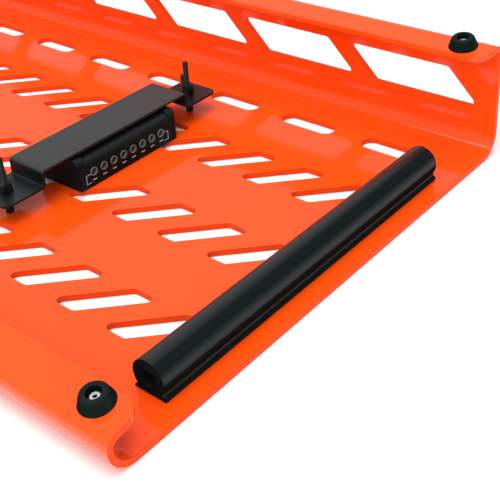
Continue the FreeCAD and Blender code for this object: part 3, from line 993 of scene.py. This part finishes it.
def ribbon(path: np.ndarray, width: float, base: float, thickness: float) -> Surface:
    """Flat strip along a path in the YZ plane, standing proud along +X.

    At each path point both edges lie half a width to the side, along the sum of the two
    neighbouring side directions, divided by one plus their dot product, which mitres a corner.

    Args:
        path: The Y and Z of the points along the middle of the strip.
        width: Width of the strip.
        base: X of its back face.
        thickness: How far it stands proud.

    Returns:
        The closed surface.
    """
    step = np.diff(path, axis=0)
    step /= np.linalg.norm(step, axis=1, keepdims=True)
    side = np.stack([-step[:, 1], step[:, 0]], axis=1)
    before = np.vstack([side[:1], side])
    after = np.vstack([side, side[-1:]])
    mitre = (before + after) / (1.0 + np.sum(before * after, axis=1, keepdims=True))
    left = path + mitre * width / 2.0
    right = path - mitre * width / 2.0
    low = np.full((len(path), 1), base)
    high = low + thickness
    corners = [(low, left), (low, right), (high, right), (high, left)]
    grid = np.stack([np.hstack(corner) for corner in corners], axis=1)
    return loops(grid, closed_along=False)


# ---- sub-assemblies ----


def dress(node: str, finish: bpy.types.Material) -> None:
    """Give a CAD node its finish in every material slot.

    Args:
        node: The node's name.
        finish: The material.
    """
    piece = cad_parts[node]
    if not piece.material_slots:
        piece.data.materials.append(finish)
    for slot in piece.material_slots:
        slot.material = finish
    LOG.info("%s: %s", node, finish.name)


def fit_out(piece: bpy.types.Object, finish: bpy.types.Material, body: str) -> None:
    """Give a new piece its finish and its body.

    Args:
        piece: The new piece.
        finish: The material.
        body: The CAD body it moves with.
    """
    piece.data.materials.append(finish)
    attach(piece, body)
    LOG.info("%s: %s, rides on %s", piece.name, finish.name, body)


class End(Enum):
    """The two ends of the strap, named for the tray wall each is nearer to."""

    FRONT = "front"
    REAR = "rear"


@dataclass
class Tray:
    """The folded sheet with its slots and windows."""

    coat: PowderCoat = field(default_factory=PowderCoat)

    def build(self) -> None:
        """Paint the sheet."""
        dress("deck_shell", self.coat.material())


@dataclass
class EndBumpers:
    """The two extruded rubber bars and the tape that holds them down."""

    bar: Rubber = Rubber("bumper_rubber", streak=(1.0, 0.03, 1.0), roughness=0.36)
    tape: Foam = Foam("mounting_tape", (0.030, 0.030, 0.031), (0.070, 0.070, 0.072))

    def build(self) -> None:
        """Finish both bars and both tapes."""
        bar, tape = self.bar.material(), self.tape.material()
        for side in ("right", "left"):
            dress(f"end_bumper_{side}", bar)
            dress(f"bumper_tape_{side}", tape)


@dataclass
class Feet:
    """Four rubber feet, each held by a washer and a blind rivet."""

    rubber: Rubber = Rubber("foot_rubber", (0.0060, 0.0115, 0.0105), roughness=0.55, sheen=0.25)
    washer: BlackCoat = BlackCoat("foot_washer_coat", edge_radius=0.0002, sheen=0.1)
    # The rivet's side colour is painted shade on its faces that don't look up: bore wall and rim.
    rivet: BareMetal = BareMetal(
        "rivet_aluminium", (0.62, 0.64, 0.63), (0.34, 0.35, 0.35), 0.34, (0.010, 0.010, 0.010)
    )

    def build(self) -> None:
        """Finish the feet, washers and rivets."""
        rubber = self.rubber.material()
        for wall in ("front", "rear"):
            for side in ("right", "left"):
                dress(f"foot_{wall}_{side}", rubber)
        dress("foot_washers", self.washer.material())
        dress("foot_rivets", self.rivet.material())


@dataclass
class WingNut:
    """A cast wing nut: a bored hub with two wings that sweep up and out to rounded tips."""

    hub_foot: float = 0.0055
    hub_crown: float = 0.0047
    hub_height: float = 0.0068
    bore: float = 0.0025
    wing_root: Triple = (0.0030, 0.0, 0.0030)
    wing_middle: Triple = (0.0098, 0.0, 0.0022)
    wing_tip: Triple = (0.0118, 0.0, 0.0121)
    half_height: float = 0.0029
    half_thickness: float = 0.0020
    edge: float = 0.0004
    root_swell: float = 0.9
    swell_reach: float = 0.16
    spread: float = 0.25
    tip_start: float = 0.80
    tip_limit: float = 0.998
    steps: int = 28
    around: int = 24

    def hub(self) -> Surface:
        """Hub with a bore: a rounded collar below a slightly tapered crown.

        The outline starts at the bore's lower edge and runs out round the collar, up the crown
        and back to the bore. Every corner is rounded in steps of the edge length.
        """
        foot, crown, top, bore = self.hub_foot, self.hub_crown, self.hub_height, self.bore
        edge = self.edge
        profile = [
            (bore, edge),
            (bore + edge, 0.0),
            (foot - edge, 0.0),
            (foot - edge * 0.3, edge * 0.3),
            (foot, edge),
            (foot, 3.0 * edge),
            (foot - edge * 0.7, 4.0 * edge),
            (crown + edge * 0.5, 5.0 * edge),
            (crown, top - 1.5 * edge),
            (crown - edge * 0.4, top - edge * 0.4),
            (crown - 1.5 * edge, top),
            (bore + edge, top),
            (bore, top - edge),
        ]
        return turned_ring(np.array(profile), 2 * self.around)

    def wing(self) -> Surface:
        """One wing: ellipses carried along a curve with three control points.

        The centre at t is (1 - t)^2 root + 2 t (1 - t) middle + t^2 tip. Each ellipse is taller
        than thick and swells towards the root. From tip_start on its size falls as the square
        root of one less the squared distance, which rounds the tip.
        """
        t = np.sin(np.linspace(0.0, np.pi / 2.0, self.steps))[:, None]
        root, middle, tip = (np.array(p) for p in (self.wing_root, self.wing_middle, self.wing_tip))
        centre = (1 - t) ** 2 * root + 2 * t * (1 - t) * middle + t**2 * tip
        along = 2 * (1 - t) * (middle - root) + 2 * t * (tip - middle)
        along /= np.linalg.norm(along, axis=1, keepdims=True)
        up = np.stack([-along[:, 2], np.zeros(self.steps), along[:, 0]], axis=1)
        past = np.clip((t - self.tip_start) / (1.0 - self.tip_start), 0.0, self.tip_limit)
        rounding = np.sqrt(1.0 - past**2)
        swell = 1.0 + self.root_swell * np.exp(-t / self.swell_reach)
        tall = self.half_height * rounding * (1.0 + self.spread * t)
        thick = self.half_thickness * rounding * swell
        angle = np.linspace(0.0, 2.0 * np.pi, self.around, endpoint=False)[None, :, None]
        out = np.array([0.0, 1.0, 0.0])
        grid = (
            centre[:, None, :]
            + np.cos(angle) * (tall * up)[:, None, :]
            + np.sin(angle) * (thick * out)[:, None, :]
        )
        return loops(grid, closed_along=False)

    def build(self, name: str, turn: float, centre: Triple) -> bpy.types.Object:
        """Make the nut where it stands.

        Args:
            name: The new object's name.
            turn: Angle of the wings about the stud, in radians.
            centre: Middle of the hub's lower face.

        Returns:
            The new object.
        """
        whole = self.hub().add(self.wing()).add(self.wing().placed(math.pi, (0.0, 0.0, 0.0)))
        return whole.placed(turn, centre).piece(name)


@dataclass
class StrapClamp:
    """The bent strap with its pad, held on two studs by wing nuts."""

    # The strap's lower colour is painted shade on its tabs and the lower part of its walls.
    coat: BlackCoat = BlackCoat(
        "strap_coat",
        (0.026, 0.028, 0.029),
        (0.085, 0.087, 0.090),
        0.42,
        lower=(0.003, 0.006, 0.0065),
    )
    steel: BlackCoat = BlackCoat(
        "black_steel",
        (0.0060, 0.0075, 0.0080),
        edge_radius=0.0002,
        texture_depth=0.00002,
        sheen=0.35,
    )
    pad: Foam = Foam("strap_foam")
    nut: WingNut = field(default_factory=WingNut)
    turns: dict[End, float] = field(
        default_factory=lambda: {End.FRONT: math.radians(-38.0), End.REAR: math.radians(-27.0)}
    )

    def build(self) -> None:
        """Finish the CAD pieces and put a cast nut in place of each plain one."""
        steel = self.steel.material()
        dress("supply_strap", self.coat.material())
        dress("strap_pad", self.pad.material())
        for end in End:
            for stem in ("stud", "spacer", "nut_washer"):
                dress(f"{stem}_{end.value}", steel)
            plain = f"wing_nut_{end.value}"
            low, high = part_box(plain)
            centre = ((low.x + high.x) / 2.0, (low.y + high.y) / 2.0, low.z)
            cast = self.nut.build(f"cast_wing_nut_{end.value}", self.turns[end], centre)
            fit_out(cast, steel, f"nut_{end.value}")
            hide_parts(plain)


@dataclass
class PowerSupply:
    """The small supply: case, sockets, contents and the white marks printed round its sockets."""

    # Both plastics keep the default side colour, painted to cancel red bounce light from the deck.
    case: MouldedPlastic = MouldedPlastic(
        "supply_plastic", (0.0050, 0.0062, 0.0066), (0.011, 0.018, 0.018), 0.46
    )
    socket: MouldedPlastic = MouldedPlastic(
        "socket_plastic", (0.003, 0.0035, 0.004), (0.012, 0.013, 0.014), 0.30
    )
    ring: SilverMoulding = SilverMoulding("socket_ring")
    screw: BareMetal = BareMetal("screw_steel", (0.62, 0.62, 0.60), (0.34, 0.34, 0.33), 0.30)
    # Painted shade: the pins are dark grey rather than brass colour, so they reflect little orange
    # light.
    pin: BareMetal = BareMetal("pin_brass", (0.10, 0.12, 0.10), (0.04, 0.05, 0.04), 0.45)
    ferrite: Foam = Foam("ferrite", (0.030, 0.031, 0.034), (0.075, 0.076, 0.080), 2600.0)
    board: CircuitBoard = CircuitBoard()
    can: CapacitorSleeve = CapacitorSleeve()
    ink: Ink = Ink()
    socket_count: int = 8
    line_width: float = 0.00042
    ink_thickness: float = 0.00004
    frame_reach: float = 0.0048
    frame_drop: float = 0.0086
    frame_arm: float = 0.0050
    frame_top: float = 0.3
    tick_width: float = 0.00084
    tick_drop: float = 0.0072
    tick_length: float = 0.0042

    def build(self) -> None:
        """Finish the CAD pieces and print the marks."""
        case, socket = self.case.material(), self.socket.material()
        ring, pin = self.ring.material(), self.pin.material()
        for node in ("supply_cover", "supply_base"):
            dress(node, case)
        for node in ("output_jacks", "inlet_jack"):
            dress(node, socket)
        for node in ("output_rings", "inlet_ring"):
            dress(node, ring)
        for node in ("output_pins", "inlet_pin"):
            dress(node, pin)
        dress("supply_screws", self.screw.material())
        dress("supply_board", self.board.material())
        dress("supply_coil", self.ferrite.material())
        dress("supply_capacitors", self.can.material())
        self.print_marks()

    def print_marks(self) -> None:
        """Print an open frame round the socket row and a short tick below each socket."""
        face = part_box("supply_cover")[1].x
        low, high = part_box("output_rings")
        radius = (high.z - low.z) / 2.0
        middle = low.z + radius
        first, last = low.y + radius, high.y - radius
        marks = Surface()
        for centre, outward in ((first, -1.0), (last, 1.0)):
            far = centre + outward * (radius + self.frame_reach)
            near = far - outward * self.frame_arm
            bottom = middle - self.frame_drop
            top = middle - radius * self.frame_top
            corners = [(near, top), (far, top), (far, bottom), (near, bottom)]
            marks.add(ribbon(np.array(corners), self.line_width, face, self.ink_thickness))
        for place in np.linspace(first, last, self.socket_count):
            height, half = middle - self.tick_drop, self.tick_length / 2.0
            ends = [(place - half, height), (place + half, height)]
            marks.add(ribbon(np.array(ends), self.tick_width, face, self.ink_thickness))
        printed = marks.piece("socket_row_print", smooth=False)
        fit_out(printed, self.ink.material(), "supply")


# ---- studio ----


@dataclass(frozen=True)
class SoftLight:
    """A square soft light: its middle, the point it faces, its side and its power in watts."""

    name: str
    place: Triple
    target: Triple
    width: float
    power: float


@dataclass
class Studio:
    """Pale floor, soft lights, a white surround and the camera."""

    eye: Triple = (0.7136, -0.4348, 0.3981)
    ahead: Triple = (-0.57155, 0.64654, -0.50529)
    rightward: Triple = (0.77059, 0.63452, -0.05975)
    lens: float = 70.396
    sensor: float = 36.0
    shift: float = -0.15
    floor_half: float = 6.0
    floor_gap: float = 0.0004
    floor_pale: Colour = (0.93, 0.93, 0.93)
    floor_shade: Colour = (0.90, 0.90, 0.90)
    surround: float = 0.60
    lights: tuple[SoftLight, ...] = (
        SoftLight("overhead", (0.25, -0.35, 2.2), (0.0, 0.0, 0.0), 2.0, 45.0),
        SoftLight("front_fill", (0.9, -1.9, 1.3), (0.0, 0.1, 0.05), 1.6, 20.0),
    )

    def build(self) -> None:
        """Set up the whole studio."""
        self.place_camera()
        self.lay_floor()
        self.light_surround()
        for light in self.lights:
            self.hang_light(light)
        bpy.context.scene.view_settings.view_transform = "Standard"

    def place_camera(self) -> None:
        """Stand the camera from its place, viewing direction and rightward direction."""
        lens = bpy.data.cameras.new("view")
        lens.sensor_width = self.sensor
        lens.lens = self.lens
        lens.shift_y = self.shift
        camera = bpy.data.objects.new("view", lens)
        back = -Vector(self.ahead).normalized()
        across = Vector(self.rightward)
        across = (across - back * across.dot(back)).normalized()
        turn = Matrix((across, back.cross(across), back)).transposed().to_4x4()
        camera.matrix_world = Matrix.Translation(self.eye) @ turn
        bpy.context.scene.collection.objects.link(camera)
        bpy.context.scene.camera = camera

    def lay_floor(self) -> None:
        """Lay a pale floor just under the playing face."""
        half = self.floor_half
        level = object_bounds()[0][2] - self.floor_gap
        corners = np.array([(-half, -half), (half, -half), (half, half), (-half, half)])
        points = np.hstack([corners, np.full((4, 1), level)])
        floor = Surface(points, [[0, 1, 2, 3]]).piece("floor", smooth=False)
        shader = Shader("floor_paper")
        cloud = shader.noise(per_metre=3.0, detail=3.0)
        colour = shader.mix(cloud * 0.5, self.floor_pale, self.floor_shade)
        floor.data.materials.append(shader.done(Base_Color=colour, Roughness=0.8 + cloud * 0.1))
        floor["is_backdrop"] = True

    def light_surround(self) -> None:
        """Fill the surround with even white light."""
        world = bpy.data.worlds.new("surround")
        world.use_nodes = True
        sky = world.node_tree.nodes["Background"]
        sky.inputs["Color"].default_value = (1.0, 1.0, 1.0, 1.0)
        sky.inputs["Strength"].default_value = self.surround
        bpy.context.scene.world = world

    def hang_light(self, light: SoftLight) -> None:
        """Hang a soft light.

        Args:
            light: The light.
        """
        lamp = bpy.data.lights.new(light.name, "AREA")
        lamp.shape = "SQUARE"
        lamp.size = light.width
        lamp.energy = light.power
        holder = bpy.data.objects.new(light.name, lamp)
        facing = Vector(light.target) - Vector(light.place)
        turn = facing.to_track_quat("-Z", "Y").to_matrix().to_4x4()
        holder.matrix_world = Matrix.Translation(light.place) @ turn
        bpy.context.scene.collection.objects.link(holder)


def main() -> None:
    """Build the studio and every sub-assembly in order."""
    logging.basicConfig(level=logging.INFO, format="%(message)s")
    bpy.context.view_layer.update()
    for part in (Studio(), Tray(), EndBumpers(), Feet(), StrapClamp(), PowerSupply()):
        part.build()


if __name__ == "__main__":
    main()
